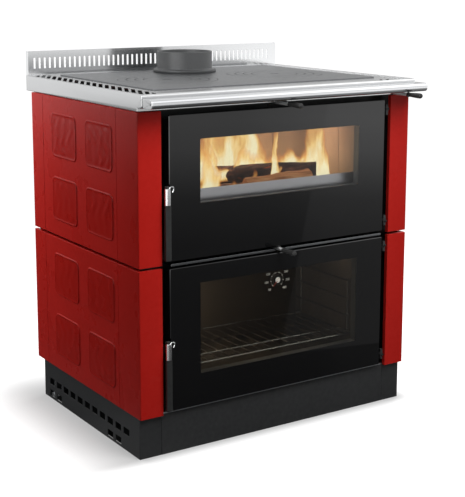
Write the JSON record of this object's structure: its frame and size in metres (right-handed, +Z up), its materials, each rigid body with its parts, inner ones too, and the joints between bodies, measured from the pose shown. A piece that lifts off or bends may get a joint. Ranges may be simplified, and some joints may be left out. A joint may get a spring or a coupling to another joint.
{
  "type": "range cooker",
  "caption": "Wood-fired range cooker: glazed fire door over glazed oven door, cast hob plate with lift-out rings, flue collar, pull rods, rail and slotted splashback.",
  "frame": {"origin": "centre of the overall box on the floor", "axes": "+X to the right seen from the front, +Y from the front to the back, +Z up"},
  "size_m": [0.803, 0.7046, 0.924],
  "materials": {
    "red_enamel": "glossy enamelled casting",
    "black_steel": "satin heat-proof black",
    "stainless": "brushed stainless steel",
    "galvanised": "plain sheet steel",
    "hob_iron": "ground and polished cast iron",
    "collar_iron": "matt black cast iron",
    "grate_iron": "rough cast iron",
    "flue_box": "sheet steel, dark",
    "black_glass": "black bordered ceramic glass",
    "clear_glass": "clear ceramic glass",
    "firebrick": "pressed refractory board",
    "oven_enamel": "dark glossy oven enamel",
    "wire_chrome": "bright plated wire",
    "seal_rope": "braided glass rope",
    "dial_face": "satin metal",
    "needle_red": "enamel",
    "plinth_black": "satin black",
    "knob_black": "satin black heat-proof moulding"
  },
  "bodies": {
    "cooker": {"ash_drawer": "black_steel", "baffle": "firebrick", "base_pan": "galvanised", "door_brackets": "black_steel", "fire_grate": "grate_iron", "firebox_shell": "flue_box", "flue_collar": "collar_iron", "front_frame": "black_steel", "front_rail": "stainless", "hob_plate": "hob_iron", "left_firebrick": "firebrick", "left_lower_panel": "red_enamel", "left_rack_runner": "wire_chrome", "left_upper_panel": "red_enamel", "log_guard": "stainless", "mid_trim": "stainless", "oven_box": "oven_enamel", "oven_rack": "wire_chrome", "plinth_back": "plinth_black", "plinth_feet": "galvanised", "plinth_front": "plinth_black", "plinth_left": "plinth_black", "plinth_right": "plinth_black", "rail_bosses": "stainless", "rail_end_caps": "stainless", "rear_firebrick": "firebrick", "rear_panel": "galvanised", "right_firebrick": "firebrick", "right_lower_panel": "red_enamel", "right_rack_runner": "wire_chrome", "right_upper_panel": "red_enamel", "splashback": "stainless", "worktop_frame": "stainless"},
    "fire_door": {"fire_door_glass": "black_glass", "fire_door_frame": "black_steel", "fire_door_inner_glass": "clear_glass", "fire_door_seal": "seal_rope", "fire_door_hinge_pins": "black_steel"},
    "fire_handle": {"fire_handle_sleeve": "stainless", "fire_handle_bar": "black_steel", "fire_latch": "black_steel"},
    "oven_door": {"oven_door_glass": "black_glass", "oven_door_frame": "black_steel", "oven_door_inner_glass": "clear_glass", "oven_door_seal": "seal_rope", "oven_door_hinge_pins": "black_steel", "thermometer_dial": "dial_face"},
    "oven_handle": {"oven_handle_sleeve": "stainless", "oven_handle_bar": "black_steel", "oven_latch": "black_steel"},
    "needle": {"thermometer_needle": "needle_red"},
    "left_disc": {"left_hob_disc": "hob_iron"},
    "right_disc": {"right_hob_disc": "hob_iron"},
    "top_air": {"top_air_rod": "black_steel", "top_air_knob": "knob_black"},
    "low_air": {"low_air_rod": "black_steel", "low_air_knob": "knob_black"},
    "damper_pull": {"damper_rod": "black_steel", "damper_knob": "knob_black"},
    "damper": {"flue_damper": "grate_iron"}
  },
  "joints": [
    {"name": "fire_door_swing", "type": "hinge", "parent": "cooker", "child": "fire_door", "pos_m": [0.328, -0.25025, 0.6382], "axis": [0, 0, 1], "range_deg": [0, 105]},
    {"name": "fire_handle_lift", "type": "hinge", "parent": "fire_door", "child": "fire_handle", "pos_m": [-0.308, -0.24025, 0.62297], "axis": [-1, 0, 0], "range_deg": [0, 30]},
    {"name": "oven_door_swing", "type": "hinge", "parent": "cooker", "child": "oven_door", "pos_m": [0.328, -0.25025, 0.2797], "axis": [0, 0, 1], "range_deg": [0, 105]},
    {"name": "oven_handle_lift", "type": "hinge", "parent": "oven_door", "child": "oven_handle", "pos_m": [-0.308, -0.24025, 0.258], "axis": [-1, 0, 0], "range_deg": [0, 30]},
    {"name": "needle_turn", "type": "hinge", "parent": "oven_door", "child": "needle", "pos_m": [0, -0.22735, 0.378], "axis": [0, 1, 0], "range_deg": [0, 270], "stiffness_Nm_per_rad": 0.005},
    {"name": "left_disc_lift", "type": "slide", "parent": "cooker", "child": "left_disc", "axis": [0, 0, 1], "range_m": [0, 0.08]},
    {"name": "right_disc_lift", "type": "slide", "parent": "cooker", "child": "right_disc", "axis": [0, 0, 1], "range_m": [0, 0.08]},
    {"name": "top_air_pull", "type": "slide", "parent": "cooker", "child": "top_air", "axis": [0, -1, 0], "range_m": [0, 0.035]},
    {"name": "low_air_pull", "type": "slide", "parent": "cooker", "child": "low_air", "axis": [0, -1, 0], "range_m": [0, 0.035]},
    {"name": "damper_pull_slide", "type": "slide", "parent": "cooker", "child": "damper_pull", "axis": [0, -1, 0], "range_m": [0, 0.045]},
    {"name": "damper_turn", "type": "hinge", "parent": "cooker", "child": "damper", "pos_m": [0, 0.16575, 0.832], "axis": [1, 0, 0], "range_deg": [0, 80]}
  ],
  "couplings": [
    {"joint": "damper_turn", "follows": "damper_pull_slide", "rad_per_m": 31}
  ]
}
